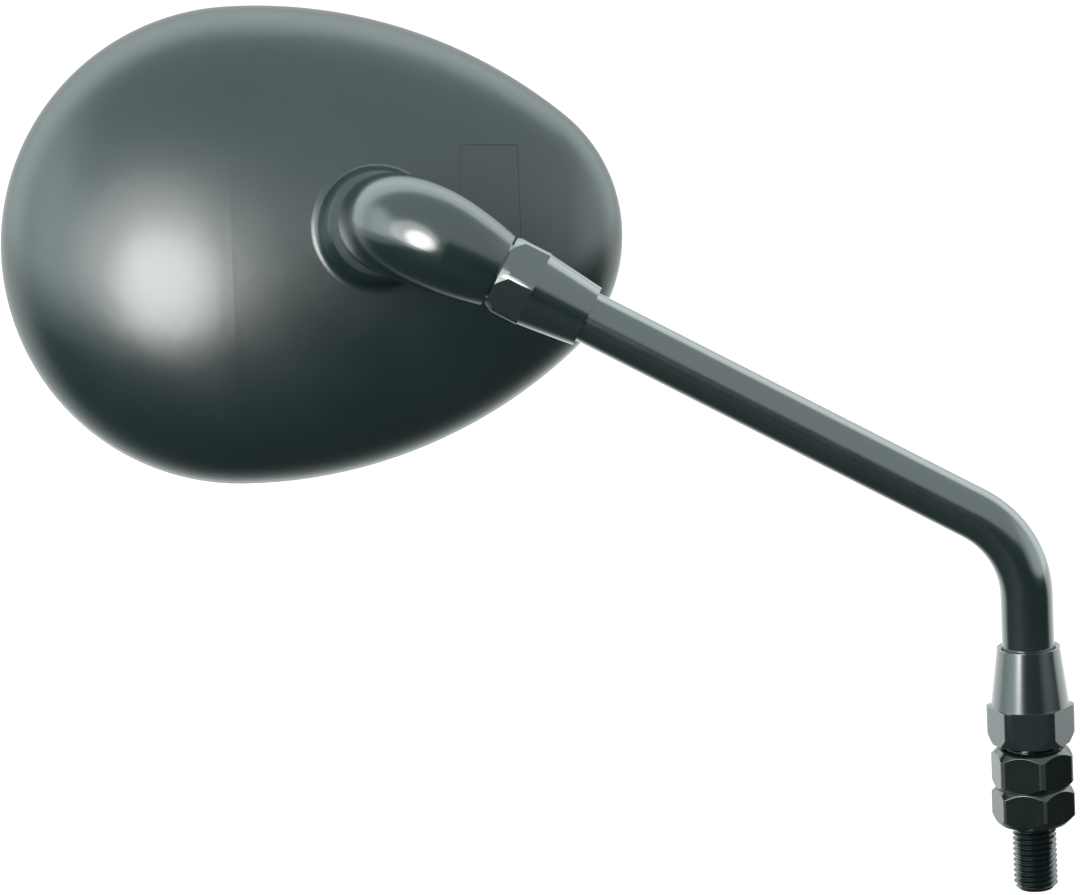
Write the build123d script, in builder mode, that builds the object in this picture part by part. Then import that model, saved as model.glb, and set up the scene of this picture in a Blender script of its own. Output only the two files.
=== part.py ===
"""Motorcycle mirror: a swivel stud, a bent stem, a cast neck and a ball-jointed head.

The origin is on the stud's axis at the lock nut's lower face. +Z runs up the stud, +X is to the right of the
mirror's back as it is seen, and the glass faces +Y. All sizes are in millimetres.
"""

import os
from math import atan, cos, degrees, radians, sin, sqrt, tan

from build123d import *

# Stud, adapter and lock nut
stud_radius = 5.0
stud_length = 15.5
stud_end_chamfer = 1.2
engaged_radius = 4.6
thread_clearance = 0.05
nut_flats = 17.0
nut_height = 8.7
nut_edge_radius = 0.9
nut_turn = -14.7
nut_countersink = 0.6
adapter_hex_height = 9.3
adapter_edge_radius = 1.6
adapter_turn = -17.3
hex_chamfer_angle = 30.0
washer_face_share = 0.95

# Swivel glands at both ends of the stem
gland_radius = 7.0
gland_length = 9.0
gland_end_chamfer = 0.6
friction_ring_thickness = 1.2
friction_ring_bore = 3.0
gland_play = 0.15

# Cap nuts
cap_flats = 18.0
cap_edge_radius = 2.5
cap_hex_height = 8.5
cap_taper_length = 13.6
cap_taper_foot_radius = 9.05
cap_taper_top_radius = 7.2
cap_mouth_radius = 9.1
cap_mouth_chamfer_angle = 21.5
cap_bore_chamfer = 0.5
lower_cap_gap = 1.3
upper_cap_gap = 0.6
lower_cap_turn = -3.5
upper_cap_turn = -17.0

# Stem
stem_radius = 6.0
stem_play = 0.1
stem_head_height = 2.6
stem_bend_height = 66.65
stem_bend_radius = 21.5
arm_rise = 28.06
arm_sweep = 8.2

# Neck
elbow_reach = 160.8
neck_length = 27.0
neck_end_radius = 8.9
neck_knee_radius = 12.0
neck_rim_radius = 10.2
neck_bend_radius = 15.6
neck_rim_fillet = 1.5

# Ball joint
ball_drop = 25.0
ball_radius = 8.0
shank_radius = 4.0
shank_end_drop = 2.0
press_clearance = 0.02
joint_clearance = 0.25
liner_thickness = 2.0
liner_front_angle = 43.0
liner_rear_angle = 100.0
socket_lip_angle = 43.0
boss_mouth_angle = 37.0
boss_radius = 14.1
boss_foot_depth = 3.0
boss_foot_fillet = 2.0
seal_thickness = 1.5
seal_edge_angle = 49.5
seal_gap = 0.3

# Pressure cup, spring, retainer plate and screws
cup_front_drop = 4.3
cup_floor = 1.8
cup_clearance = 0.1
cup_pilot_radius = 4.6
cup_pilot_height = 1.2
spring_length = 7.0
spring_coil_radius = 6.4
spring_wire_radius = 0.8
spring_turns = 2.5
barrel_wall = 3.0
barrel_drop = 8.0
plate_thickness = 2.0
plate_hole_radius = 3.0
post_count = 3
post_circle_radius = 17.6
post_radius = 3.2
plate_lug_radius = 4.2
screw_radius = 1.5
screw_clearance = 0.2
screw_pilot_clearance = 0.02
screw_grip = 8.0
screw_head_radius = 2.8
screw_head_height = 2.0
screw_slot_width = 0.8
screw_slot_depth = 0.9

# Head: outline of tangent arcs, dome and rim
head_pitch = 20.0
big_end_radius = 54.57
flank_radius = 112.0
nose_radius = 35.64
nose_distance = 51.85
dome_height = 30.0
dome_wall = 2.5
skirt_depth = 6.0
skirt_wall = 2.4
ledge_width = 2.6
rim_edge_fillet = 0.9
boss_offset = 31.9

# Glass, pad and rim seal
glass_curve_radius = 1200.0
glass_thickness = 2.5
glass_recess = 0.3
pad_thickness = 0.8
seal_wall = 1.4
seal_lip_width = 1.6
seal_lip_thickness = 0.8
rim_fit = 0.1

# Places along the stud's axis
adapter_foot = nut_height
adapter_top = adapter_foot + adapter_hex_height
gland_top = adapter_top + gland_length
stem_foot = gland_top + friction_ring_thickness
base = Plane.XY

# Places along the arm, which rises from the bend's corner and sweeps back a little
arm_level = Vector(-cos(radians(arm_sweep)), sin(radians(arm_sweep)), 0)
arm_side = Vector(-sin(radians(arm_sweep)), -cos(radians(arm_sweep)), 0)
arm_direction = arm_level * cos(radians(arm_rise)) + Vector(0, 0, sin(radians(arm_rise)))
bend_corner = Vector(0, 0, stem_bend_height)
neck_end_reach = elbow_reach - neck_length
stem_head = neck_end_reach - gland_length - friction_ring_thickness
elbow_corner = bend_corner + arm_direction * elbow_reach
neck_end = Plane(bend_corner + arm_direction * neck_end_reach, x_dir=arm_side, z_dir=-arm_direction)

# Head and ball joint places
dome_share = dome_height / big_end_radius
right = Vector(1, 0, 0)
back = Vector(0, -cos(radians(head_pitch)), sin(radians(head_pitch)))


def flank_centre():
    """Centre of the flank arc, which holds the big-end circle and the nose circle inside and touches both."""
    to_big = flank_radius - big_end_radius
    to_nose = flank_radius - nose_radius
    x = (to_big**2 - to_nose**2 + nose_distance**2) / (2 * nose_distance)
    return x, -sqrt(to_big**2 - x**2)


flank_x, flank_y = flank_centre()
boss_rise = sqrt(flank_radius**2 - (boss_offset - flank_x) ** 2)
boss_lean = atan(dome_share * (boss_offset - flank_x) / boss_rise)
boss_direction = right * sin(boss_lean) + back * cos(boss_lean)
ball_centre = elbow_corner - boss_direction * ball_drop
joint = Plane(ball_centre, x_dir=right * cos(boss_lean) - back * sin(boss_lean), z_dir=boss_direction)
foot_height = dome_share * (boss_rise + flank_y)
head_origin = ball_centre + boss_direction * boss_foot_depth - right * boss_offset - back * foot_height
head = Plane(head_origin, x_dir=right, z_dir=back)

# Sizes that follow from the ball joint
liner_inner = ball_radius + joint_clearance
liner_outer = liner_inner + liner_thickness
socket_radius = liner_outer + joint_clearance
seal_inner = boss_radius + seal_gap
seal_outer = seal_inner + seal_thickness
neck_cup_radius = seal_outer + seal_gap
shank_end = ball_drop - shank_end_drop
cup_back = ball_radius + joint_clearance + cup_floor
plate_top = cup_back + spring_length
plate_bottom = plate_top + plate_thickness

# The glass is a cap of a large sphere, and its seat in the shell follows it about the same centre
head_middle = (nose_distance + nose_radius - big_end_radius) / 2
curve_height = glass_curve_radius + glass_recess - skirt_depth
curve_centre = head_origin + right * head_middle + back * curve_height
curve = Plane(curve_centre, x_dir=head.z_dir, z_dir=head.y_dir)
seat_depth = glass_thickness + pad_thickness


def axis_of(plane):
    """The line through a plane's origin along its normal."""
    return Axis(plane.origin, plane.z_dir)


def section_plane(plane):
    """The plane that holds a turned piece's half section: x is the radius and y runs along the axis."""
    return Plane(plane.origin, x_dir=plane.x_dir, z_dir=-plane.y_dir)


def half_section(plane, *points):
    """Closed half section of a turned piece, from (radius, height) points."""
    with BuildSketch(section_plane(plane)) as section:
        with BuildLine():
            Polyline(*points, close=True)
        make_face()
    return section.sketch


def on_sphere(radius, angle):
    """(radius, height) of a point on a sphere, at an angle in degrees from the axis."""
    return radius * sin(radians(angle)), radius * cos(radians(angle))


def zone_section(plane, inner, outer, start, end):
    """Half section of a spherical zone about the plane's origin, between two angles from its axis."""
    middle = (start + end) / 2
    with BuildSketch(section_plane(plane)) as section:
        with BuildLine():
            ThreePointArc(on_sphere(outer, start), on_sphere(outer, middle), on_sphere(outer, end))
            Line(on_sphere(outer, end), on_sphere(inner, end))
            ThreePointArc(on_sphere(inner, end), on_sphere(inner, middle), on_sphere(inner, start))
            Line(on_sphere(inner, start), on_sphere(outer, start))
        make_face()
    return section.sketch


def hexagon_nut(plane, flats, height, edge_radius, turn):
    """Hexagon with rounded edges and both ends chamfered down to a round face."""
    corner = flats / sqrt(3)
    face = flats / 2 * washer_face_share
    fall = (corner - face) * tan(radians(hex_chamfer_angle))
    with BuildPart() as blank:
        with BuildSketch(plane):
            RegularPolygon(flats / 2, 6, major_radius=False, rotation=turn)
        extrude(amount=height)
        fillet(blank.edges().filter_by(axis_of(plane)), edge_radius)
        lens = [(0, 0), (face, 0), (corner, fall), (corner, height - fall), (face, height), (0, height)]
        revolve(half_section(plane, *lens), axis_of(plane), mode=Mode.INTERSECT)
    return blank.part


def cap_nut(spigot_foot, gap, turn):
    """Gland nut: a hexagon that screws over the spigot and a tapered skirt around the stem."""
    plane = spigot_foot.offset(gap)
    top = cap_hex_height + cap_taper_length
    bore = gland_radius + thread_clearance
    neck_bore = stem_radius + stem_play
    shoulder = gland_length - gap + friction_ring_thickness + stem_head_height + gland_play
    corner = cap_flats / sqrt(3)
    fall = (corner - cap_mouth_radius) / tan(radians(cap_mouth_chamfer_angle))
    with BuildPart() as nut:
        with BuildSketch(plane):
            RegularPolygon(cap_flats / 2, 6, major_radius=False, rotation=turn)
        extrude(amount=cap_hex_height)
        fillet(nut.edges().filter_by(axis_of(plane)), cap_edge_radius)
        lens = [(0, 0), (cap_mouth_radius, 0), (corner, fall), (corner, cap_hex_height), (0, cap_hex_height)]
        revolve(half_section(plane, *lens), axis_of(plane), mode=Mode.INTERSECT)
        skirt = [
            (0, cap_hex_height),
            (cap_taper_foot_radius, cap_hex_height),
            (cap_taper_top_radius, top),
            (0, top),
        ]
        revolve(half_section(plane, *skirt), axis_of(plane))
        hollow = [
            (0, 0),
            (bore + cap_bore_chamfer, 0),
            (bore, cap_bore_chamfer),
            (bore, shoulder),
            (neck_bore, shoulder + bore - neck_bore),
            (neck_bore, top - cap_bore_chamfer),
            (neck_bore + cap_bore_chamfer, top),
            (0, top),
        ]
        revolve(half_section(plane, *hollow), axis_of(plane), mode=Mode.SUBTRACT)
    return nut.part


def friction_ring(plane):
    """Flat ring that the stem's headed end turns on."""
    with BuildPart() as ring:
        with BuildSketch(plane):
            Circle(gland_radius - gland_play)
            Circle(friction_ring_bore, mode=Mode.SUBTRACT)
        extrude(amount=friction_ring_thickness)
    return ring.part


def egg_points(inset):
    """Tangent points of the head's upper outline, moved in by inset, and the middles of its arcs."""
    big = big_end_radius - inset
    flank = flank_radius - inset
    nose = nose_radius - inset
    to_big = sqrt(flank_x**2 + flank_y**2)
    to_nose = sqrt((nose_distance - flank_x) ** 2 + flank_y**2)
    shoulder = (-flank_x / to_big * big, -flank_y / to_big * big)
    cheek = (nose_distance + (nose_distance - flank_x) / to_nose * nose, -flank_y / to_nose * nose)
    crown_x = (shoulder[0] + cheek[0]) / 2
    crown = (crown_x, flank_y + sqrt(flank**2 - (crown_x - flank_x) ** 2))
    heel = (-big, 0)
    tip = (nose_distance + nose, 0)
    heel_middle = (-big * cos(radians(45)), big * sin(radians(45)))
    nose_angle = radians(20)
    tip_middle = (nose_distance + nose * cos(nose_angle), nose * sin(nose_angle))
    return heel, heel_middle, shoulder, crown, cheek, tip_middle, tip


def egg_face(plane, inset):
    """The head's outline as a face: half of it in arcs, mirrored across its long axis."""
    heel, heel_middle, shoulder, crown, cheek, tip_middle, tip = egg_points(inset)
    with BuildSketch(plane) as outline:
        with BuildLine():
            ThreePointArc(heel, heel_middle, shoulder)
            ThreePointArc(shoulder, crown, cheek)
            ThreePointArc(cheek, tip_middle, tip)
            Line(tip, heel)
        make_face()
        mirror(about=Plane.XZ)
    return outline.sketch


def egg_dome(inset, height):
    """Half of a turned egg, pressed flat to the given height over the head's plane."""
    heel, heel_middle, shoulder, crown, cheek, tip_middle, tip = egg_points(inset)
    with BuildPart() as dome:
        with BuildSketch():
            with BuildLine():
                ThreePointArc(heel, heel_middle, shoulder)
                ThreePointArc(shoulder, crown, cheek)
                ThreePointArc(cheek, tip_middle, tip)
                Line(tip, heel)
            make_face()
        revolve(axis=Axis.X, revolution_arc=180)
        scale(by=(1, 1, height / (big_end_radius - inset)))
    return head.location * dome.part


def egg_layer(inset, front, back):
    """Layer of the head's outline that follows the glass, from front above its face to back below it."""
    with BuildPart() as layer:
        extrude(egg_face(head.offset(-skirt_depth), inset), amount=2 * skirt_depth)
        with Locations(curve):
            Sphere(glass_curve_radius + front, mode=Mode.INTERSECT)
            Sphere(glass_curve_radius - back, mode=Mode.SUBTRACT)
    return layer.part


# Stud adapter: M10 stud, hexagon and the spigot for the lower cap nut
with BuildPart() as stud_adapter:
    hexagon_foot = base.offset(adapter_foot)
    add(hexagon_nut(hexagon_foot, nut_flats, adapter_hex_height, adapter_edge_radius, adapter_turn))
    stud_outline = [
        (0, -stud_length),
        (stud_radius - stud_end_chamfer, -stud_length),
        (stud_radius, -stud_length + stud_end_chamfer),
        (stud_radius, 0),
        (engaged_radius, 0),
        (engaged_radius, adapter_foot),
        (0, adapter_foot),
    ]
    revolve(half_section(base, *stud_outline), Axis.Z)
    spigot_outline = [
        (0, adapter_top),
        (gland_radius, adapter_top),
        (gland_radius, gland_top - gland_end_chamfer),
        (gland_radius - gland_end_chamfer, gland_top),
        (0, gland_top),
    ]
    revolve(half_section(base, *spigot_outline), Axis.Z)

# Lock nut
with BuildPart() as lock_nut:
    add(hexagon_nut(base, nut_flats, nut_height, nut_edge_radius, nut_turn))
    nut_bore = engaged_radius + thread_clearance
    bore_outline = [
        (0, 0),
        (nut_bore + nut_countersink, 0),
        (nut_bore, nut_countersink),
        (nut_bore, nut_height - nut_countersink),
        (nut_bore + nut_countersink, nut_height),
        (0, nut_height),
    ]
    revolve(half_section(base, *bore_outline), Axis.Z, mode=Mode.SUBTRACT)

# Cap nuts and friction rings, the same at both ends of the stem
lower_cap_nut = cap_nut(base.offset(adapter_top), lower_cap_gap, lower_cap_turn)
upper_cap_nut = cap_nut(neck_end, upper_cap_gap, upper_cap_turn)
lower_friction_ring = friction_ring(base.offset(gland_top))
upper_friction_ring = friction_ring(neck_end.offset(gland_length))

# Stem: a bar with headed ends, bent once
with BuildPart() as stem:
    stem_end = bend_corner + arm_direction * stem_head
    with BuildLine() as stem_path:
        FilletPolyline((0, 0, stem_foot), bend_corner, stem_end, radius=stem_bend_radius)
    with BuildSketch(base.offset(stem_foot)):
        Circle(stem_radius)
    sweep(path=stem_path.line)
    with BuildSketch(base.offset(stem_foot), neck_end.offset(gland_length + friction_ring_thickness)):
        Circle(gland_radius - gland_play)
    extrude(amount=stem_head_height)

# Neck: an elbow with a spigot for the upper cap nut and a cup over the dust seal
with BuildPart() as neck:
    rim_point = elbow_corner - boss_direction * (ball_drop - neck_cup_radius / 2)
    with BuildLine() as neck_path:
        FilletPolyline(neck_end.origin, elbow_corner, rim_point, radius=neck_bend_radius)
    with BuildSketch(neck_end):
        Circle(neck_end_radius)
    with BuildSketch(Plane(neck_path.line @ 0.55, x_dir=joint.y_dir, z_dir=neck_path.line % 0.55)):
        Circle(neck_knee_radius)
    with BuildSketch(Plane(rim_point, x_dir=joint.y_dir, z_dir=-boss_direction)):
        Circle(neck_rim_radius)
    sweep(path=neck_path.line, multisection=True)
    spigot_outline = [
        (0, 0),
        (gland_radius, 0),
        (gland_radius, gland_length - gland_end_chamfer),
        (gland_radius - gland_end_chamfer, gland_length),
        (0, gland_length),
    ]
    revolve(half_section(neck_end, *spigot_outline), axis_of(neck_end))
    with Locations(joint):
        Sphere(neck_cup_radius, mode=Mode.SUBTRACT)
    fillet(neck.edges(Select.NEW), neck_rim_fillet)
    with BuildSketch(joint):
        Circle(shank_radius + press_clearance)
    extrude(amount=shank_end, mode=Mode.SUBTRACT)

# Ball stud, pressed into the neck
with BuildPart() as ball_stud:
    with Locations(joint):
        Sphere(ball_radius)
    with BuildSketch(joint):
        Circle(shank_radius)
    extrude(amount=shank_end)

# Dust seal and ball liner, two spherical rings around the ball's centre
with BuildPart() as dust_seal:
    seal_bore_angle = degrees(atan((shank_radius + seal_gap) / seal_inner))
    revolve(zone_section(joint, seal_inner, seal_outer, seal_bore_angle, seal_edge_angle), axis_of(joint))

with BuildPart() as ball_liner:
    liner_section = zone_section(joint, liner_inner, liner_outer, liner_front_angle, liner_rear_angle)
    revolve(liner_section, axis_of(joint))

# Housing shell: flattened egg with a round boss, a socket barrel and screw posts inside
with BuildPart() as cavity:
    add(egg_dome(skirt_wall + ledge_width, dome_height - dome_wall))
    extrude(egg_face(head, skirt_wall + ledge_width), amount=-skirt_depth)
    with BuildSketch(joint.offset(-barrel_drop)):
        Circle(socket_radius + barrel_wall)
    extrude(amount=barrel_drop + boss_radius, mode=Mode.SUBTRACT)
    with BuildSketch(joint.offset(-plate_top)):
        with PolarLocations(post_circle_radius, post_count):
            Circle(post_radius)
    extrude(amount=plate_top + boss_radius, mode=Mode.SUBTRACT)

with BuildPart() as housing_shell:
    add(egg_dome(0, dome_height))
    extrude(egg_face(head, 0), amount=-skirt_depth)
    with Locations(joint):
        Sphere(boss_radius)
    fillet(housing_shell.edges(Select.NEW), boss_foot_fillet)
    add(cavity.part, mode=Mode.SUBTRACT)
    add(egg_layer(skirt_wall, skirt_depth, seat_depth), mode=Mode.SUBTRACT)
    with Locations(joint):
        Sphere(socket_radius, mode=Mode.SUBTRACT)
    with BuildSketch(joint.offset(-barrel_drop)):
        Circle(socket_radius)
    extrude(amount=barrel_drop, mode=Mode.SUBTRACT)
    mouth = [
        (0, 0),
        on_sphere(ball_radius, socket_lip_angle),
        on_sphere(boss_radius + liner_thickness, boss_mouth_angle),
        (0, boss_radius + liner_thickness),
    ]
    revolve(half_section(joint, *mouth), axis_of(joint), mode=Mode.SUBTRACT)
    with BuildSketch(joint.offset(-plate_top)):
        with PolarLocations(post_circle_radius, post_count):
            Circle(screw_radius + screw_pilot_clearance)
    extrude(amount=screw_grip, mode=Mode.SUBTRACT)
    rim = housing_shell.faces().sort_by(axis_of(head))[0]
    fillet(rim.outer_wire().edges(), rim_edge_fillet)

# Pressure cup with a pilot for the spring
with BuildPart() as pressure_cup:
    cup_rim = sqrt(liner_inner**2 - cup_front_drop**2)
    with BuildSketch(section_plane(joint)):
        with BuildLine():
            ThreePointArc((0, -liner_inner), on_sphere(liner_inner, 150), (cup_rim, -cup_front_drop))
            Polyline(
                (cup_rim, -cup_front_drop),
                (socket_radius - cup_clearance, -cup_front_drop),
                (socket_radius - cup_clearance, -cup_back),
                (cup_pilot_radius, -cup_back),
                (cup_pilot_radius, -cup_back - cup_pilot_height),
                (0, -cup_back - cup_pilot_height),
                (0, -liner_inner),
            )
        make_face()
    revolve(axis=axis_of(joint))

# Coil spring
with BuildPart() as pressure_spring:
    coil_rise = spring_length - 2 * spring_wire_radius
    coil_foot = joint.offset(-plate_top + spring_wire_radius)
    coil_pitch = coil_rise / spring_turns
    coil = Helix(coil_pitch, coil_rise, spring_coil_radius, center=coil_foot.origin, direction=joint.z_dir)
    with BuildSketch(Plane(coil @ 0, z_dir=coil % 0)):
        Circle(spring_wire_radius)
    sweep(path=coil, is_frenet=True)

# Retainer plate and its screws
with BuildPart() as retainer_plate:
    with BuildSketch(joint.offset(-plate_bottom)):
        with PolarLocations(post_circle_radius, post_count):
            Circle(plate_lug_radius)
        make_hull()
        with PolarLocations(post_circle_radius, post_count):
            Circle(screw_radius + screw_clearance, mode=Mode.SUBTRACT)
        Circle(plate_hole_radius, mode=Mode.SUBTRACT)
    extrude(amount=plate_thickness)

with BuildPart() as retainer_screws:
    with BuildSketch(joint.offset(-plate_bottom)):
        with PolarLocations(post_circle_radius, post_count):
            Circle(screw_head_radius)
    extrude(amount=-screw_head_height)
    with BuildSketch(joint.offset(-plate_bottom)):
        with PolarLocations(post_circle_radius, post_count):
            Circle(screw_radius)
    extrude(amount=plate_thickness + screw_grip - screw_radius)
    with BuildSketch(joint.offset(-plate_bottom - screw_head_height)):
        with PolarLocations(post_circle_radius, post_count):
            Rectangle(2 * screw_head_radius, screw_slot_width)
    extrude(amount=screw_slot_depth, mode=Mode.SUBTRACT)

# Glass, foam pad and rim seal, in the shell's pocket
seal_inset = skirt_wall + rim_fit
glass_inset = seal_inset + seal_wall + rim_fit
mirror_glass = egg_layer(glass_inset, 0, glass_thickness)
glass_pad = egg_layer(glass_inset, -glass_thickness, seat_depth)
with BuildPart() as rim_seal:
    add(egg_layer(seal_inset, seal_lip_thickness, seat_depth))
    add(egg_layer(seal_inset + seal_wall, 0, seat_depth), mode=Mode.SUBTRACT)
    add(egg_layer(seal_inset + seal_wall + seal_lip_width, skirt_depth, seat_depth), mode=Mode.SUBTRACT)

# Label each piece and write it
pieces = {
    "stud_adapter": stud_adapter.part,
    "lock_nut": lock_nut.part,
    "lower_cap_nut": lower_cap_nut,
    "lower_friction_ring": lower_friction_ring,
    "stem": stem.part,
    "upper_friction_ring": upper_friction_ring,
    "upper_cap_nut": upper_cap_nut,
    "neck": neck.part,
    "ball_stud": ball_stud.part,
    "dust_seal": dust_seal.part,
    "ball_liner": ball_liner.part,
    "housing_shell": housing_shell.part,
    "pressure_cup": pressure_cup.part,
    "pressure_spring": pressure_spring.part,
    "retainer_plate": retainer_plate.part,
    "retainer_screws": retainer_screws.part,
    "mirror_glass": mirror_glass,
    "glass_pad": glass_pad,
    "rim_seal": rim_seal.part,
}
os.makedirs("parts", exist_ok=True)
for label, piece in pieces.items():
    piece.label = label
    export_step(piece, f"parts/{label}.step")
    print(label, round(piece.volume), "mm3,", len(piece.solids()), "solid(s)")
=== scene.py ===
# %% [markdown]
# # A motorcycle mirror
# The mirror is a black egg-shaped head on a ball joint, a cast neck, a bent bar and a threaded stud. The
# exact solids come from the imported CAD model. This lesson dresses them: it sets up the photograph's camera
# and a small studio, cuts the real threads and nuts, and mixes a finish for every surface.

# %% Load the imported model
from math import atan2, cos, degrees, pi, radians, sin, sqrt, tan

import bmesh
import bpy
from mathutils import Matrix, Vector
from mathutils.bvhtree import BVHTree


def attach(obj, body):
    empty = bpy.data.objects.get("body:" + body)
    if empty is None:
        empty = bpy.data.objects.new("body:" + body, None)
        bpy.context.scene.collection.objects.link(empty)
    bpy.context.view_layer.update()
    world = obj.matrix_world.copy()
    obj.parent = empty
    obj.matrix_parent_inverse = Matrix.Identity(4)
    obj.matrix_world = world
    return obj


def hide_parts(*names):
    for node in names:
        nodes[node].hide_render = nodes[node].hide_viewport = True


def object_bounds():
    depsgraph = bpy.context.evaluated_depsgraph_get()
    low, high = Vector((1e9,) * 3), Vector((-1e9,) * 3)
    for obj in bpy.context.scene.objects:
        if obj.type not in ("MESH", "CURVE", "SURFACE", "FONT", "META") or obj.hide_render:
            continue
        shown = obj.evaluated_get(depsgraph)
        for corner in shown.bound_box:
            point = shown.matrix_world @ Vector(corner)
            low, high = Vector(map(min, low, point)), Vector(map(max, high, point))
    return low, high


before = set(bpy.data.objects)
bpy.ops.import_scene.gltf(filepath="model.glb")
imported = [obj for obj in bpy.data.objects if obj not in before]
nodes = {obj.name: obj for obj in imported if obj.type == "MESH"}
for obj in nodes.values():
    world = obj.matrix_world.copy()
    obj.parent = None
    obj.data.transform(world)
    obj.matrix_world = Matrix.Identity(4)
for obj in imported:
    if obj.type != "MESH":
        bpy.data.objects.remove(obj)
cad_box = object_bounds()
MM = 0.001

# %% [markdown]
# ## The camera
# The photograph looks at the back of the head, a little from above, with a long lens, so parallel lines
# stay parallel, and the picture is turned by two degrees. A camera could be posed by hand, but here its
# three axes are worked out from the view's elevation and roll, which gives the same picture every time.

# %% Camera
VIEW_ELEVATION = radians(15)
VIEW_ROLL = radians(2.18)
VIEW_TARGET = Vector((-108.9, 0.0, 92.4)) * MM
VIEW_DISTANCE = 5427.0 * MM
VIEW_DEPTH = 20.0
LENS = 800.0

towards_camera = Vector((0, -cos(VIEW_ELEVATION), sin(VIEW_ELEVATION)))
level_up = Vector((0, sin(VIEW_ELEVATION), cos(VIEW_ELEVATION)))
camera_right = Vector((1, 0, 0)) * cos(VIEW_ROLL) - level_up * sin(VIEW_ROLL)
camera_up = level_up * cos(VIEW_ROLL) + Vector((1, 0, 0)) * sin(VIEW_ROLL)

camera_data = bpy.data.cameras.new("photo_camera")
camera_data.lens = LENS
camera_data.clip_end = VIEW_DEPTH
camera = bpy.data.objects.new("photo_camera", camera_data)
bpy.context.scene.collection.objects.link(camera)
camera_axes = Matrix((camera_right, camera_up, towards_camera)).transposed().to_4x4()
camera.matrix_world = Matrix.Translation(VIEW_TARGET + towards_camera * VIEW_DISTANCE) @ camera_axes
bpy.context.scene.camera = camera
bpy.context.scene.view_settings.view_transform = "Standard"
print("camera at", [round(v, 3) for v in camera.location])

# %% [markdown]
# ## The room
# Black gloss is drawn by what it mirrors. In the photograph everything beside and behind the mirror is
# pale, which gives each round piece its light rim, and the camera's side is dark, which keeps the fronts
# black. Many lamps could do that, but a world that brightens towards the sides and the back gives the same
# long soft rims with less noise. The camera sees plain white, and so do mirrored rays that go straight
# back. These helpers build its node tree.

# %% Node helpers


def add_node(tree, kind, settings=None, **inputs):
    """A node of one kind with its settings and its unlinked inputs, by socket name."""
    node = tree.nodes.new(kind)
    for name, value in (settings or {}).items():
        setattr(node, name, value)
    for name, value in inputs.items():
        node.inputs[name.replace("_", " ")].default_value = value
    return node


def ramp(tree, source, start, end, low, high):
    """Smooth step of a value, from low at start to high at end."""
    step = add_node(tree, "ShaderNodeMapRange", {"interpolation_type": "SMOOTHSTEP"})
    for name, value in (("From Min", start), ("From Max", end), ("To Min", low), ("To Max", high)):
        step.inputs[name].default_value = value
    tree.links.new(source, step.inputs["Value"])
    return step.outputs["Result"]


def combine(tree, operation, first, second):
    """One arithmetic step between two sockets."""
    step = add_node(tree, "ShaderNodeMath", {"operation": operation})
    tree.links.new(first, step.inputs[0])
    tree.links.new(second, step.inputs[1])
    return step.outputs["Value"]


def sees_backdrop(tree, back):
    """One for rays from the camera or through a piece, and for mirrored rays that go far to the back."""
    path = add_node(tree, "ShaderNodeLightPath")
    direct = combine(tree, "MAXIMUM", path.outputs["Is Camera Ray"], path.outputs["Is Transmission Ray"])
    return combine(tree, "MAXIMUM", direct, combine(tree, "MULTIPLY", path.outputs["Is Glossy Ray"], back))


def choose(tree, switch, lit, seen, output):
    """Send one shader to the output where the switch is zero, and another where it is one."""
    either = add_node(tree, "ShaderNodeMixShader")
    tree.links.new(switch, either.inputs["Fac"])
    tree.links.new(lit.outputs[0], either.inputs[1])
    tree.links.new(seen.outputs[0], either.inputs[2])
    tree.links.new(either.outputs[0], add_node(tree, output).inputs["Surface"])


# %% [markdown]
# The room is the brightest of four soft fields: a ceiling that grows with height, a wall on each side, of
# which the left one is dimmer towards the back, and a surround that starts square to the line of sight. The
# surround weakens straight behind, where mirrored rays see the white backdrop instead. A photograph of a
# studio could light the mirror too, but fields can be moved and dimmed one by one.

# %% Room fields
DARK_SIDE = 0.09
CEILING = 0.78
CEILING_EDGE = (0.16, 0.36)
LEFT_WALL = 2.2
LEFT_EDGE = (-0.55, -0.9)
LEFT_DIMMED = 0.7
LEFT_DIM_EDGE = (-0.3, 0.1)
RIGHT_WALL = 1.4
RIGHT_EDGE = (0.45, 1.0)
SURROUND = 2.1
SURROUND_EDGE = (-0.05, 0.2)
FAR_BACK = 0.8
FAR_EDGE = (0.5, 0.95)

world = bpy.data.worlds.new("pale_room")
bpy.context.scene.world = world
world.use_nodes = True
room = world.node_tree
room.nodes.clear()
direction = add_node(room, "ShaderNodeTexCoord").outputs["Generated"]
split = add_node(room, "ShaderNodeSeparateXYZ")
room.links.new(direction, split.inputs["Vector"])
along_view = add_node(room, "ShaderNodeVectorMath", {"operation": "DOT_PRODUCT"})
room.links.new(direction, along_view.inputs[0])
along_view.inputs[1].default_value = -towards_camera
sideways = split.outputs["X"]
upwards = split.outputs["Z"]
depth = along_view.outputs["Value"]

ceiling = ramp(room, upwards, *CEILING_EDGE, DARK_SIDE, CEILING)
left_dimmer = ramp(room, depth, *LEFT_DIM_EDGE, 1.0, LEFT_DIMMED)
left_wall = combine(room, "MULTIPLY", ramp(room, sideways, *LEFT_EDGE, 0.0, LEFT_WALL), left_dimmer)
right_wall = ramp(room, sideways, *RIGHT_EDGE, 0.0, RIGHT_WALL)
beside = ramp(room, depth, *SURROUND_EDGE, 0.0, SURROUND)
behind = ramp(room, depth, *FAR_EDGE, SURROUND, FAR_BACK)
glow = combine(room, "MINIMUM", beside, behind)
for field in (left_wall, right_wall, ceiling):
    glow = combine(room, "MAXIMUM", glow, field)
print("fields of", CEILING, LEFT_WALL, RIGHT_WALL, "and", SURROUND)

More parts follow.
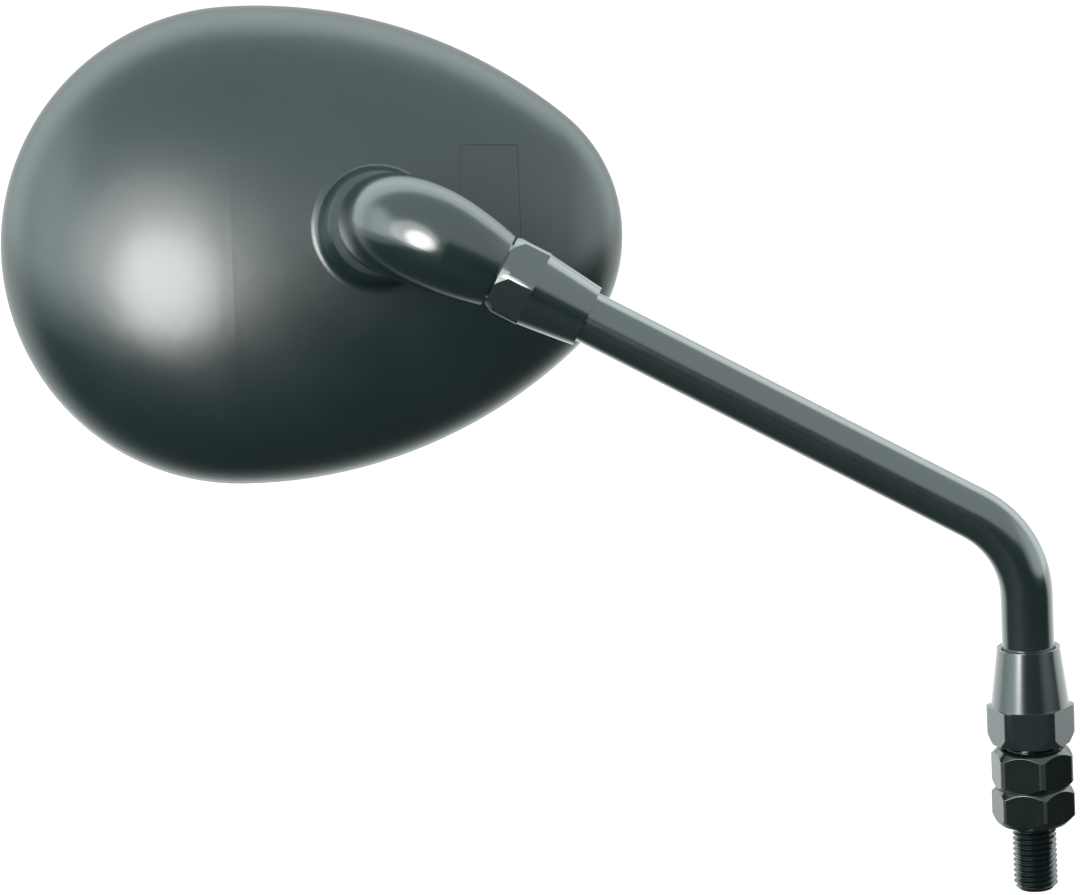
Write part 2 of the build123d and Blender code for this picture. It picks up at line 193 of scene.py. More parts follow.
# %% [markdown]
# Two backgrounds share the world. The fields light the mirror and draw its rims, and a plain white of
# strength one is what the camera sees. A white wall behind the mirror could do the second job, but it
# would light the mirror too. The light path tells the two apart, ray by ray. The fields are a cool white,
# because the photograph's blacks lean to blue-green.

# %% Room light
WHITE = (1, 1, 1, 1)
ROOM_COLOUR = (0.86, 1.0, 0.995)

room_light = add_node(room, "ShaderNodeBackground", Color=(*ROOM_COLOUR, 1))
room.links.new(glow, room_light.inputs["Strength"])
backdrop = add_node(room, "ShaderNodeBackground", Color=WHITE, Strength=1.0)
straight_back = ramp(room, depth, *FAR_EDGE, 0.0, 1.0)
choose(room, sees_backdrop(room, straight_back), room_light, backdrop, "ShaderNodeOutputWorld")
print("room with", len(room.nodes), "nodes")

# %% [markdown]
# ## The softboxes
# One round lamp left of the camera makes the broad highlight of the shell and the small bright spot on the
# neck. In the photograph that highlight fades slowly upwards and to the left, so a second, larger and
# weaker lamp surrounds the first one. Each power is worked out from the brightness that a mirror would see,
# so the lamps can be resized without changing their tone.

# %% Softboxes
AIM = Vector((-150, 10, 125)) * MM
LAMP_DISTANCE = 0.80


def softbox(name, azimuth, elevation, size, radiance):
    """Oval lamp that faces the head from an azimuth and elevation in degrees."""
    lamp = bpy.data.lights.new(name, "AREA")
    lamp.shape = "ELLIPSE"
    lamp.size, lamp.size_y = size
    area = size[0] * size[1] * pi / 4
    lamp.energy = radiance * pi * area
    holder = bpy.data.objects.new(name, lamp)
    bpy.context.scene.collection.objects.link(holder)
    level = cos(radians(elevation))
    away = Vector((sin(radians(azimuth)) * level, -cos(radians(azimuth)) * level, sin(radians(elevation))))
    holder.location = AIM + away * LAMP_DISTANCE
    holder.rotation_euler = away.to_track_quat("Z", "Y").to_euler()
    holder.visible_camera = False
    print(name, "at", [round(v, 2) for v in holder.location], "with", round(lamp.energy, 1), "W")


softbox("key_softbox", azimuth=-26, elevation=10, size=(0.48, 0.48), radiance=6.6)
softbox("halo_softbox", azimuth=-32, elevation=17, size=(0.86, 0.76), radiance=1.95)

# %% [markdown]
# ## The floor
# The mirror was photographed on plain white, and nothing of its shadow is in the frame. A floor some way
# below the stud keeps a soft shadow for the other views. The white world could do without it, but then the
# mirror would float.

# %% Floor
FLOOR_DROP = 150 * MM
FLOOR_HALF = 6.0

floor_height = cad_box[0].z - FLOOR_DROP
floor_mesh = bmesh.new()
bmesh.ops.create_grid(floor_mesh, x_segments=2, y_segments=2, size=FLOOR_HALF)
bmesh.ops.translate(floor_mesh, verts=floor_mesh.verts, vec=(0, 0, floor_height))
floor_data = bpy.data.meshes.new("floor")
floor_mesh.to_mesh(floor_data)
floor_mesh.free()
floor = bpy.data.objects.new("floor", floor_data)
bpy.context.scene.collection.objects.link(floor)
print("floor at", round(floor_height, 3))

# %% [markdown]
# The camera sees the paper on the floor as a pale grey with a glow that lifts it to white, and so do
# mirrored rays that meet it far behind the mirror. Paper that is white for every ray would be simpler, but
# it would shine in all the black pieces. So all other rays see it dark on the camera's side and pale from
# below the mirror to the back, like a sheet that ends under the object, and pale again far to the left.

# %% Paper
PAPER_TONE = (0.05, 0.6)
PAPER_EDGE = (0.06, 0.30)
LEFT_PAPER_EDGE = (-1.0, -1.6)
FAR_PAPER_EDGE = (0.2, 0.6)
SEEN_GREY = 0.36
SEEN_GLOW = 0.78

paper = bpy.data.materials.new("white_paper")
paper.use_nodes = True
sheet = paper.node_tree
sheet.nodes.clear()
spot = add_node(sheet, "ShaderNodeSeparateXYZ")
sheet.links.new(add_node(sheet, "ShaderNodeTexCoord").outputs["Object"], spot.inputs["Vector"])
back_part = ramp(sheet, spot.outputs["Y"], *PAPER_EDGE, *PAPER_TONE)
left_part = ramp(sheet, spot.outputs["X"], *LEFT_PAPER_EDGE, *PAPER_TONE)
toned = add_node(sheet, "ShaderNodeBsdfDiffuse")
sheet.links.new(combine(sheet, "MAXIMUM", back_part, left_part), toned.inputs["Color"])
grey = add_node(sheet, "ShaderNodeBsdfDiffuse", Color=(SEEN_GREY, SEEN_GREY, SEEN_GREY, 1))
shine = add_node(sheet, "ShaderNodeEmission", Color=WHITE, Strength=SEEN_GLOW)
lifted = add_node(sheet, "ShaderNodeAddShader")
sheet.links.new(grey.outputs[0], lifted.inputs[0])
sheet.links.new(shine.outputs[0], lifted.inputs[1])
far_paper = ramp(sheet, spot.outputs["Y"], *FAR_PAPER_EDGE, 0.0, 1.0)
choose(sheet, sees_backdrop(sheet, far_paper), toned, lifted, "ShaderNodeOutputMaterial")
floor.data.materials.append(paper)
print(paper.name, "with", len(sheet.nodes), "nodes")

# %% [markdown]
# ## Shared effects
# No real surface is one flat colour. Moulded plastic has a fine grain, lacquer has a faint orange peel and
# plated steel is mottled. Pictures could carry these marks, but noise needs no unwrapping and stays sharp
# up close. Two node groups make the effects once: a fine relief for the bump, and a slow drift that shifts
# colour and roughness a little. Each finish places them with its own scale and amount.

# %% Effect groups
FLOAT = "NodeSocketFloat"
VECTOR = "NodeSocketVector"
COLOUR = "NodeSocketColor"
DRIFT_EDGE = (0.3, 0.7)


def effect_group(name, inputs, outputs):
    """Empty shader node group with named sockets, and its input and output nodes."""
    tree = bpy.data.node_groups.new(name, "ShaderNodeTree")
    for side, sockets in (("INPUT", inputs), ("OUTPUT", outputs)):
        for label, kind in sockets.items():
            tree.interface.new_socket(label, in_out=side, socket_type=kind)
    return tree, tree.nodes.new("NodeGroupInput"), tree.nodes.new("NodeGroupOutput")


def noise(tree, source, **settings):
    """Noise that takes its place and scale from a group's input node."""
    texture = add_node(tree, "ShaderNodeTexNoise", **settings)
    for name in ("Vector", "Scale"):
        tree.links.new(source.outputs[name], texture.inputs[name])
    return texture.outputs["Fac"]


grain, grain_in, grain_out = effect_group("fine_grain", {"Vector": VECTOR, "Scale": FLOAT}, {"Height": FLOAT})
grain.links.new(noise(grain, grain_in, Detail=2.0, Roughness=0.55), grain_out.inputs["Height"])

drift, drift_in, drift_out = effect_group(
    "slow_drift",
    {
        "Vector": VECTOR,
        "Scale": FLOAT,
        "Dark": COLOUR,
        "Light": COLOUR,
        "Roughness Low": FLOAT,
        "Roughness High": FLOAT,
    },
    {"Color": COLOUR, "Roughness": FLOAT},
)
spread = ramp(drift, noise(drift, drift_in, Detail=4.0, Roughness=0.6), *DRIFT_EDGE, 0.0, 1.0)
tint = add_node(drift, "ShaderNodeMix", {"data_type": "RGBA"})
drift.links.new(spread, tint.inputs["Factor"])
drift.links.new(drift_in.outputs["Dark"], tint.inputs["A"])
drift.links.new(drift_in.outputs["Light"], tint.inputs["B"])
drift.links.new(tint.outputs["Result"], drift_out.inputs["Color"])
dulling = add_node(drift, "ShaderNodeMapRange")
drift.links.new(spread, dulling.inputs["Value"])
drift.links.new(drift_in.outputs["Roughness Low"], dulling.inputs["To Min"])
drift.links.new(drift_in.outputs["Roughness High"], dulling.inputs["To Max"])
drift.links.new(dulling.outputs["Result"], drift_out.inputs["Roughness"])
print("effects:", grain.name, "and", drift.name)

# %% [markdown]
# ## One recipe for every finish
# All the finishes share one node tree: the drift colours the surface and sets its roughness, and the grain
# presses a relief into it. Only the amounts differ, so one function makes them all and each finish reads as
# a short recipe.

# %% Finish maker
RELIEF_DEPTH = 0.05 * MM


def finish(name, dark, light, roughness, drift_scale, grain_scale, bump, **sockets):
    """Material with drifting colour and roughness over a fine relief; sockets are plain shader values."""
    material = bpy.data.materials.new(name)
    material.use_nodes = True
    tree = material.node_tree
    tree.nodes.clear()
    shader = add_node(tree, "ShaderNodeBsdfPrincipled", **sockets)
    place = add_node(tree, "ShaderNodeTexCoord").outputs["Object"]
    mottle = add_node(
        tree, "ShaderNodeGroup", {"node_tree": drift}, Scale=drift_scale, Dark=(*dark, 1), Light=(*light, 1),
        Roughness_Low=roughness[0], Roughness_High=roughness[1],
    )
    pores = add_node(tree, "ShaderNodeGroup", {"node_tree": grain}, Scale=grain_scale)
    press = add_node(tree, "ShaderNodeBump", Strength=bump, Distance=RELIEF_DEPTH)
    tree.links.new(place, mottle.inputs["Vector"])
    tree.links.new(place, pores.inputs["Vector"])
    tree.links.new(mottle.outputs["Color"], shader.inputs["Base Color"])
    tree.links.new(mottle.outputs["Roughness"], shader.inputs["Roughness"])
    tree.links.new(pores.outputs["Height"], press.inputs["Height"])
    tree.links.new(press.outputs["Normal"], shader.inputs["Normal"])
    tree.links.new(shader.outputs[0], add_node(tree, "ShaderNodeOutputMaterial").inputs["Surface"])
    return material


# %% [markdown]
# ## The blacks
# Four blacks meet in this mirror. The shell is satin plastic with a fine grain. The bar and the cap nuts
# are sprayed with a hard gloss lacquer, which mirrors more than plastic does, and the cast neck wears the
# same lacquer over a slightly rougher skin. The stud and its nuts are plated, thin and nearly black. All of
# them lean to blue-green. One black for all would be quicker, but the eye tells the four materials apart by
# their gloss alone. A specular level of one doubles what a surface mirrors head-on, which draws the room's
# long rims.

# %% Black finishes
STRONG_GLOSS = {"Specular_IOR_Level": 1.0}
LACQUER_TONES = {"dark": (0.0027, 0.013, 0.012), "light": (0.004, 0.0155, 0.015)}

shell_black = finish(
    "satin_shell_black", dark=(0.004, 0.0155, 0.015), light=(0.0067, 0.0195, 0.019), roughness=(0.29, 0.32),
    drift_scale=40, grain_scale=2600, bump=0.05, IOR=1.6, **STRONG_GLOSS,
)
lacquer = finish(
    "black_lacquer", **LACQUER_TONES, roughness=(0.15, 0.18), drift_scale=80, grain_scale=500, bump=0.03,
    IOR=1.8, Coat_Weight=1.0, Coat_Roughness=0.12, **STRONG_GLOSS,
)
casting = finish(
    "cast_neck_black", **LACQUER_TONES, roughness=(0.19, 0.23), drift_scale=70, grain_scale=420, bump=0.05,
    IOR=1.6, Coat_Weight=0.6, Coat_Roughness=0.16, **STRONG_GLOSS,
)
zinc = finish(
    "black_zinc", dark=(0.0015, 0.006, 0.0057), light=(0.0028, 0.0085, 0.008), roughness=(0.12, 0.16),
    drift_scale=160, grain_scale=3000, bump=0.05, IOR=1.6, **STRONG_GLOSS,
)
print("blacks:", [material.name for material in (shell_black, lacquer, casting, zinc)])

# %% [markdown]
# The rounded corners of a nut mirror the pale room as lighter bands, and that light is painted into their
# colour here as a painted sheen: lighter in colour, and duller, than the flats. A second material could be
# set on those faces, but a mark on the faces lets one finish do both: the cells that mill the nuts make the
# mark, and the finish reads it.

# %% Painted sheen on the corners
CORNER_SHEEN_MARK = "painted_corner_sheen"
# The corner colour is a painted sheen: lighter than the flats, it stands in for the pale room that the
# rounded corners mirror.
PAINTED_SHEEN_COLOUR = (0.022, 0.032, 0.031)
SHEEN_CORNER_ROUGHNESS = 0.3


def paint_corner_sheen(material):
    """Painted sheen: a lighter colour and a duller surface on the faces that carry the corner mark."""
    tree = material.node_tree
    shader = next(node for node in tree.nodes if node.type == "BSDF_PRINCIPLED")
    sheen_mask = add_node(tree, "ShaderNodeAttribute", {"attribute_name": CORNER_SHEEN_MARK}).outputs["Fac"]
    changes = {"Base Color": ("RGBA", (*PAINTED_SHEEN_COLOUR, 1)), "Roughness": ("FLOAT", SHEEN_CORNER_ROUGHNESS)}
    for name, (kind, value) in changes.items():
        socket = shader.inputs[name]
        change = add_node(tree, "ShaderNodeMix", {"data_type": kind}, B=value)
        tree.links.new(sheen_mask, change.inputs["Factor"])
        tree.links.new(socket.links[0].from_socket, change.inputs["A"])
        tree.links.new(change.outputs["Result"], socket)


paint_corner_sheen(zinc)
# Prints the finish that carries the painted corner sheen.
print("thin plating on", zinc.name)

# %% [markdown]
# ## Rubber, foam, plastic, metal and glass
# The dust seal is a dark grey rubber with a visible texture, and the rim channel is smoother. Inside are
# foam, a pale acetal liner, bright steel and brass. The glass is silvered at the back. It could be clear
# glass in front of a mirror, but a smooth metal under a clear coat gives the same picture with fewer rays.

# %% Other finishes
seal_rubber = finish(
    "grey_seal_rubber", dark=(0.021, 0.033, 0.033), light=(0.04, 0.053, 0.053), roughness=(0.45, 0.55),
    drift_scale=150, grain_scale=1800, bump=0.5,
)
rim_rubber = finish(
    "rim_rubber", dark=(0.008, 0.015, 0.015), light=(0.016, 0.024, 0.024), roughness=(0.5, 0.62),
    drift_scale=90, grain_scale=2200, bump=0.25,
)
foam = finish(
    "pad_foam", dark=(0.012, 0.012, 0.012), light=(0.03, 0.03, 0.03), roughness=(0.85, 0.95),
    drift_scale=300, grain_scale=1500, bump=0.8,
)
acetal = finish(
    "liner_acetal", dark=(0.62, 0.61, 0.58), light=(0.70, 0.69, 0.66), roughness=(0.38, 0.46),
    drift_scale=120, grain_scale=900, bump=0.04,
)
steel = finish(
    "bright_steel", dark=(0.46, 0.47, 0.48), light=(0.58, 0.59, 0.60), roughness=(0.22, 0.34),
    drift_scale=200, grain_scale=2500, bump=0.06, Metallic=1.0,
)
brass = finish(
    "ring_brass", dark=(0.55, 0.38, 0.14), light=(0.66, 0.47, 0.20), roughness=(0.25, 0.36),
    drift_scale=200, grain_scale=2500, bump=0.06, Metallic=1.0,
)
silver = finish(
    "silvered_glass", dark=(0.80, 0.83, 0.84), light=(0.84, 0.87, 0.88), roughness=(0.012, 0.022),
    drift_scale=30, grain_scale=120, bump=0.0, Metallic=1.0, Coat_Weight=1.0, Coat_Roughness=0.01,
)
others = (seal_rubber, rim_rubber, foam, acetal, steel, brass, silver)
print("others:", [material.name for material in others])

# %% [markdown]
# ## Dressing the solids
# Every CAD node gets its finish here, the hidden ones too, because the ball joint shows when the head is
# tilted. The finishes could be set beside each recipe, but one table reads like the mirror's parts list.

# %% Dress the CAD nodes
finish_of = {
    "housing_shell": shell_black,
    "stem": lacquer,
    "upper_cap_nut": lacquer,
    "lower_cap_nut": lacquer,
    "neck": casting,
    "stud_adapter": zinc,
    "lock_nut": zinc,
    "dust_seal": seal_rubber,
    "rim_seal": rim_rubber,
    "glass_pad": foam,
    "ball_liner": acetal,
    "ball_stud": steel,
    "pressure_cup": steel,
    "pressure_spring": steel,
    "retainer_plate": steel,
    "retainer_screws": steel,
    "lower_friction_ring": brass,
    "upper_friction_ring": brass,
    "mirror_glass": silver,
}
for name, material in finish_of.items():
    for index in range(len(nodes[name].data.materials)):
        nodes[name].data.materials[index] = material
print("dressed", len(finish_of), "nodes in", len(set(finish_of.values())), "finishes")

# %% [markdown]
# ## Turning and milling
# Nuts start as round bar. The ends are turned to a cone and the six flats are milled off, which leaves the
# curved edge where each flat meets the cone. A modelled hexagon with bevels only looks like that, so these
# helpers repeat the workshop: spin an outline, slice it with planes, mark the rounded corners for the
# painted sheen, and break the sharp edges at the end.

# %% Turning helpers
TURN_STEPS = 96
TURN_MERGE = 0.001
CUT_SLACK = 0.0001


def spun(outline, closed, steps, climb, merge):
    """Mesh of (radius, height) points, spun once round Z while they climb, with its doubles merged."""
    shape = bmesh.new()
    points = [shape.verts.new((radius, 0, height)) for radius, height in outline]
    ends = points[1:] + points[:1] if closed else points[1:]
    edges = [shape.edges.new(pair) for pair in zip(points, ends)]
    bmesh.ops.spin(
        shape, geom=points + edges, cent=(0, 0, 0), axis=(0, 0, 1), dvec=(0, 0, climb / steps),
        angle=2 * pi, steps=steps, use_merge=not climb,
    )
    bmesh.ops.remove_doubles(shape, verts=shape.verts, dist=merge)
    return shape


def turned(outline, closed=True):
    """Turned piece in millimetres."""
    shape = spun(outline, closed, steps=TURN_STEPS, climb=0, merge=TURN_MERGE)
    bmesh.ops.recalc_face_normals(shape, faces=shape.faces)
    return shape


def slice_off(shape, normal, distance):
    """Cut away what lies beyond a plane at a distance from the origin, and close the cut."""
    everything = shape.verts[:] + shape.edges[:] + shape.faces[:]
    made = bmesh.ops.bisect_plane(
        shape, geom=everything, dist=CUT_SLACK, plane_co=normal * distance, plane_no=normal, clear_outer=True
    )
    rim = [item for item in made["geom_cut"] if isinstance(item, bmesh.types.BMEdge)]
    bmesh.ops.edgeloop_fill(shape, edges=rim)


# %% [markdown]
# Each corner of a real hexagon bar is rounded. A bevel could round it, but it would also move the curved
# edge of the cone, so a fan of narrow cuts rounds it instead.

# %% Milling helpers
SHARP = radians(25)
SIDE_ANGLE = 60
HALF_ANGLE = SIDE_ANGLE // 2
CORNER_CUT = 6
UPRIGHT_SLACK = 0.1


def mill_flats(shape, flats, edge_radius, turn):
    """Six flats, with each edge between them rounded by a fan of narrow cuts; turn is a corner's azimuth."""
    centre = (flats / 2 - edge_radius) / cos(radians(HALF_ANGLE))
    for corner in range(360 // SIDE_ANGLE):
        for swing in range(-HALF_ANGLE, HALF_ANGLE, CORNER_CUT):
            angle = radians(turn + SIDE_ANGLE * corner + swing)
            reach = centre * cos(radians(swing)) + edge_radius
            slice_off(shape, Vector((cos(angle), sin(angle), 0)), reach)
    bmesh.ops.recalc_face_normals(shape, faces=shape.faces)


def mark_sheen_corners(shape, turn):
    """Mark the upright outer faces between the flats, which get the painted sheen."""
    mark = shape.faces.layers.float.new(CORNER_SHEEN_MARK)
    for face in shape.faces:
        outward = face.normal.dot(face.calc_center_median() * Vector((1, 1, 0)))
        facing = degrees(atan2(face.normal.y, face.normal.x)) - turn
        off_corner = abs((facing + HALF_ANGLE) % SIDE_ANGLE - HALF_ANGLE)
        upright = abs(face.normal.z) < UPRIGHT_SLACK
        if outward > 0 and upright and off_corner < HALF_ANGLE - CORNER_CUT / 2:
            face[mark] = 1.0


def break_edges(shape, width):
    """Small rounding along every sharp edge."""
    sharp = [edge for edge in shape.edges if len(edge.link_faces) == 2 and edge.calc_face_angle() > SHARP]
    bmesh.ops.bevel(
        shape, geom=sharp, offset=width, offset_type="OFFSET", segments=2, profile=0.5,
        affect="EDGES", clamp_overlap=True, material=-1,
    )


# %% [markdown]
# ## Threading
# A die cuts a thread by climbing as it turns. The spin operator can do the same: a zigzag outline climbs
# one pitch in one turn, the touching ends are merged, and two slices cut the rod to length. The foot is
# then drawn in to a cone, and the crests are rounded a little, because they catch the light as fine bright
# lines.

# %% Threading helper
THREAD_DEPTH = 0.61
CREST_WIDTH = 0.13
FLANK_WIDTH = 0.31
ROOT_WIDTH = 0.25
CREST_ROUND = 0.06
SPARE_TURNS = 2
THREAD_STEPS = 72
THREAD_MERGE = 0.002


def threaded(radius, pitch, length, chamfer):
    """Threaded rod in millimetres that hangs from the origin, cut to length and chamfered at its foot."""
    core = radius - THREAD_DEPTH * pitch
    outline = []
    for turn_index in range(int(length / pitch) + 2 * SPARE_TURNS):
        foot = (turn_index - SPARE_TURNS) * pitch - length
        crest = foot + CREST_WIDTH * pitch
        valley = crest + FLANK_WIDTH * pitch
        outline += [(radius, foot), (radius, crest), (core, valley), (core, valley + ROOT_WIDTH * pitch)]
    shape = spun(outline, closed=False, steps=THREAD_STEPS, climb=pitch, merge=THREAD_MERGE)
    slice_off(shape, Vector((0, 0, 1)), 0)
    slice_off(shape, Vector((0, 0, -1)), length)
    for vert in shape.verts:
        limit = radius - chamfer + vert.co.z + length
        reach = vert.co.xy.length
        if reach > limit:
            vert.co.xy *= limit / reach
    bmesh.ops.recalc_face_normals(shape, faces=shape.faces)
    break_edges(shape, CREST_ROUND)
    return shape


# %% [markdown]
# ## Keeping a piece
# A finished mesh is cleared of the specks that the cuts leave, set in its place, shaded smooth with its
# sharp edges kept, and tied to the CAD body that it moves with. Pieces that stand for a CAD node say so,
# and that node is then hidden.

# %% Keeping helpers
SPECK = 0.0001


def join(shape, other):
    """Put a second mesh into the first."""
    loose = bpy.data.meshes.new("loose")
    other.to_mesh(loose)
    other.free()
    shape.from_mesh(loose)
    bpy.data.meshes.remove(loose)


def keep(name, shape, body, material, node=None, place=Matrix()):
    """Object from a mesh in millimetres, set in its place on a body; it may stand for a CAD node."""
    bmesh.ops.dissolve_degenerate(shape, dist=SPECK, edges=shape.edges)
    bmesh.ops.transform(shape, matrix=Matrix.Scale(MM, 4) @ place, verts=shape.verts)
    data = bpy.data.meshes.new(name)
    shape.to_mesh(data)
    shape.free()
    data.polygons.foreach_set("use_smooth", [True] * len(data.polygons))
    data.set_sharp_from_angle(angle=SHARP)
    data.materials.append(material)
    piece = bpy.data.objects.new(name, data)
    bpy.context.scene.collection.objects.link(piece)
    even = piece.modifiers.new("even_shading", "WEIGHTED_NORMAL")
    even.keep_sharp = True
    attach(piece, body)
    if node:
        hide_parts(node)
    print(name, len(data.vertices), "vertices,", len(data.polygons), "faces")


# %% [markdown]
# ## Lock nut
# A plain 17 mm nut with a countersunk bore, chamfered on both ends. It could stay the CAD solid, but its
# milled edges catch a thin line of light, so it is cut again here with every edge broken. The chamfers are
# steeper than a nut's usual 30 degrees, because the flats in the photograph end in high arches. Where the
# nut meets the adapter, the end faces are larger, so that only a narrow notch is left between them.

# %% Lock nut
NUT_FLATS = 17.0
NUT_HEIGHT = 8.7
NUT_EDGE = 0.9
NUT_TURN = -14.7
NUT_BORE = 4.65
COUNTERSINK = 0.6
BROKEN_EDGE = 0.1
HEX_REACH = NUT_FLATS / sqrt(3)
HEX_CHAMFER = radians(46)
SMALL_FACE = 7.7
LARGE_FACE = 8.25


def hexagon_side(foot, foot_face, top, top_face):
    """Outline of a hexagon's blank from its lower end face, up the two chamfers, to its upper end face."""
    foot_fall = (HEX_REACH - foot_face) * tan(HEX_CHAMFER)
    top_fall = (HEX_REACH - top_face) * tan(HEX_CHAMFER)
    return [(foot_face, foot), (HEX_REACH, foot + foot_fall), (HEX_REACH, top - top_fall), (top_face, top)]


nut = turned([
    (NUT_BORE + COUNTERSINK, 0), *hexagon_side(0, SMALL_FACE, NUT_HEIGHT, LARGE_FACE),
    (NUT_BORE + COUNTERSINK, NUT_HEIGHT), (NUT_BORE, NUT_HEIGHT - COUNTERSINK), (NUT_BORE, COUNTERSINK),
])
mill_flats(nut, NUT_FLATS, NUT_EDGE, NUT_TURN)
mark_sheen_corners(nut, NUT_TURN)
break_edges(nut, BROKEN_EDGE)
keep("cut_lock_nut", nut, "lock_nut", zinc, "lock_nut")

# %% [markdown]
# ## Stud adapter
# The adapter carries the whole mirror: an M10 stud with a 1.25 mm pitch below, a 17 mm hexagon, and a 14 mm
# spigot that the cap nut screws onto. The thread could be a bump in the material, but its ridges show
# against the white background, so it is real geometry.

# %% Stud adapter
STUD_RADIUS = 5.0
STUD_PITCH = 1.25
STUD_LENGTH = 15.5
STUD_CHAMFER = 1.2
CORE_RADIUS = 4.6
ADAPTER_HEIGHT = 9.3
ADAPTER_EDGE = 1.6
ADAPTER_TURN = -17.3
SPIGOT_RADIUS = 7.0
SPIGOT_PITCH = 1.5
SPIGOT_LENGTH = 9.0
SPIGOT_CHAMFER = 0.6
ADAPTER_FOOT = NUT_HEIGHT
ADAPTER_TOP = ADAPTER_FOOT + ADAPTER_HEIGHT

adapter = turned([
    (0, ADAPTER_FOOT), *hexagon_side(ADAPTER_FOOT, LARGE_FACE, ADAPTER_TOP, SMALL_FACE), (0, ADAPTER_TOP),
], closed=False)
mill_flats(adapter, NUT_FLATS, ADAPTER_EDGE, ADAPTER_TURN)
mark_sheen_corners(adapter, ADAPTER_TURN)
break_edges(adapter, BROKEN_EDGE)
stud_core = turned([(0, 0), (CORE_RADIUS, 0), (CORE_RADIUS, ADAPTER_FOOT), (0, ADAPTER_FOOT)], closed=False)
join(adapter, stud_core)
join(adapter, threaded(STUD_RADIUS, STUD_PITCH, STUD_LENGTH, STUD_CHAMFER))
spigot = threaded(SPIGOT_RADIUS, SPIGOT_PITCH, SPIGOT_LENGTH, SPIGOT_CHAMFER)
bmesh.ops.rotate(spigot, cent=(0, 0, 0), matrix=Matrix.Rotation(pi, 3, "X"), verts=spigot.verts)
bmesh.ops.translate(spigot, vec=(0, 0, ADAPTER_TOP), verts=spigot.verts)
join(adapter, spigot)
keep("threaded_adapter", adapter, "mount", zinc, "stud_adapter")

# %% [markdown]
# ## Cap nuts
# A cap nut at each end of the bar clamps it: a hexagon with well rounded corners below, and a tapered skirt
# that closes round the bar. The CAD solids could stay, but their edges are sharp, and it is the broken edge
# that catches the light. Both nuts are the same turned blank, so one function makes them.

# %% Cap nuts
CAP_FLATS = 18.0
CAP_EDGE = 2.5
CAP_HEX = 8.5
CAP_TOP = 22.1
CAP_REACH = CAP_FLATS / sqrt(3)
MOUTH_RADIUS = 9.1
MOUTH_TAPER = radians(21.5)
MOUTH_FALL = (CAP_REACH - MOUTH_RADIUS) / tan(MOUTH_TAPER)
SKIRT_FOOT = 8.97
SKIRT_TOP = 7.2
CAP_BORE = 7.05
BAR_BORE = 6.1
BORE_CHAMFER = 0.5
STEM_HEAD = 3.95


def cap_nut(name, body, node, gap, turn, place):
    """One cap nut, a gap above the foot of the spigot that it is screwed on."""
    shoulder = SPIGOT_LENGTH - gap + STEM_HEAD
    blank = turned([
        (CAP_BORE + BORE_CHAMFER, 0), (MOUTH_RADIUS, 0), (CAP_REACH, MOUTH_FALL), (CAP_REACH, CAP_HEX),
        (SKIRT_FOOT, CAP_HEX), (SKIRT_TOP, CAP_TOP), (BAR_BORE + BORE_CHAMFER, CAP_TOP),
        (BAR_BORE, CAP_TOP - BORE_CHAMFER), (BAR_BORE, shoulder + CAP_BORE - BAR_BORE), (CAP_BORE, shoulder),
        (CAP_BORE, BORE_CHAMFER),
    ])
    mill_flats(blank, CAP_FLATS, CAP_EDGE, turn)
    break_edges(blank, BROKEN_EDGE)
    keep(name, blank, body, lacquer, node, place @ Matrix.Translation((0, 0, gap)))


# %% [markdown]
# The lower nut sits on the adapter's spigot. The upper one is built upright like it and then set on the
# arm. It could be turned and moved by eye, but the arm's frame follows from the bar's bend: how high it is,
# and how far the arm rises and sweeps to the back.

# %% Both cap nuts in place
BAR_BEND_HEIGHT = 66.65
ARM_RISE = radians(28.06)
ARM_SWEEP = radians(8.2)
NECK_END_REACH = 133.8
LOWER_GAP = 1.3
UPPER_GAP = 0.6
LOWER_TURN = -3.5
UPPER_TURN = -17.0

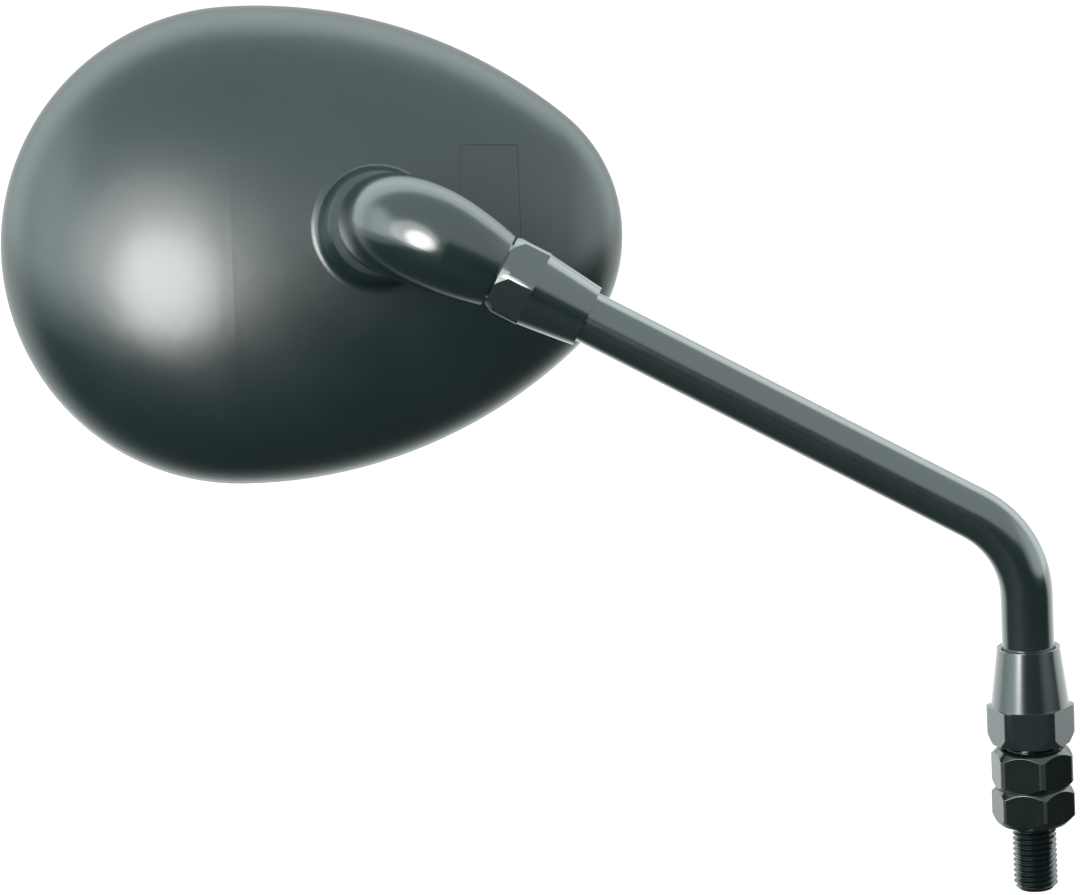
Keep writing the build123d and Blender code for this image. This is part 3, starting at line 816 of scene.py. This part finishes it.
arm_side = Vector((-sin(ARM_SWEEP), -cos(ARM_SWEEP), 0))
arm = Vector((-cos(ARM_RISE) * cos(ARM_SWEEP), cos(ARM_RISE) * sin(ARM_SWEEP), sin(ARM_RISE)))
arm_axes = Matrix((arm_side, (-arm).cross(arm_side), -arm)).transposed().to_4x4()
spigot_foot = Matrix.Translation((0, 0, ADAPTER_TOP))
neck_end = Matrix.Translation(Vector((0, 0, BAR_BEND_HEIGHT)) + arm * NECK_END_REACH) @ arm_axes
cap_nut("lower_gland_nut", "lower_cap", "lower_cap_nut", LOWER_GAP, LOWER_TURN, spigot_foot)
cap_nut("upper_gland_nut", "upper_cap", "upper_cap_nut", UPPER_GAP, UPPER_TURN, neck_end)

# %% [markdown]
# ## Moulded frame
# The shell carries a plain raised rectangle beside the boss, where the mould has an exchangeable insert. It
# could be a bump in the material, but a real line also shows from the side. It follows the egg's curve, so
# a flat unit grid is thinned to its border, dropped onto the shell along the mould's opening direction, and
# thickened.

# %% Moulded frame
HEAD_LEAN = radians(20)
FRAME_CENTRE = Vector((-117.83, 48.82, 138.67))
FRAME_SIZE = (13.5, 25.2)
LINE_WIDTH = 0.35
LINE_ROOT = 0.1
LINE_RISE = 0.12
CAST_FROM = 60.0

head_right = Vector((1, 0, 0))
head_back = Vector((0, -cos(HEAD_LEAN), sin(HEAD_LEAN)))
head_up = Vector((0, sin(HEAD_LEAN), cos(HEAD_LEAN)))
shell_tree = BVHTree.FromObject(nodes["housing_shell"], bpy.context.evaluated_depsgraph_get())

border = bmesh.new()
cells = [round(side / LINE_WIDTH) for side in FRAME_SIZE]
bmesh.ops.create_grid(border, x_segments=cells[0], y_segments=cells[1], size=0.5)
inner = []
for face in border.faces:
    centre = face.calc_center_median()
    if all(abs(centre[axis]) * cells[axis] < cells[axis] / 2 - 1 for axis in range(2)):
        inner.append(face)
bmesh.ops.delete(border, geom=inner, context="FACES")
for vert in border.verts:
    above = FRAME_CENTRE + head_right * vert.co.x * FRAME_SIZE[0] + head_up * vert.co.y * FRAME_SIZE[1]
    hit, normal = shell_tree.ray_cast((above + head_back * CAST_FROM) * MM, -head_back)[:2]
    vert.co = hit / MM + normal * LINE_RISE
bmesh.ops.recalc_face_normals(border, faces=border.faces)
bmesh.ops.solidify(border, geom=border.faces[:], thickness=LINE_RISE + LINE_ROOT)
bmesh.ops.recalc_face_normals(border, faces=border.faces)
keep("moulded_frame", border, "head", shell_black)
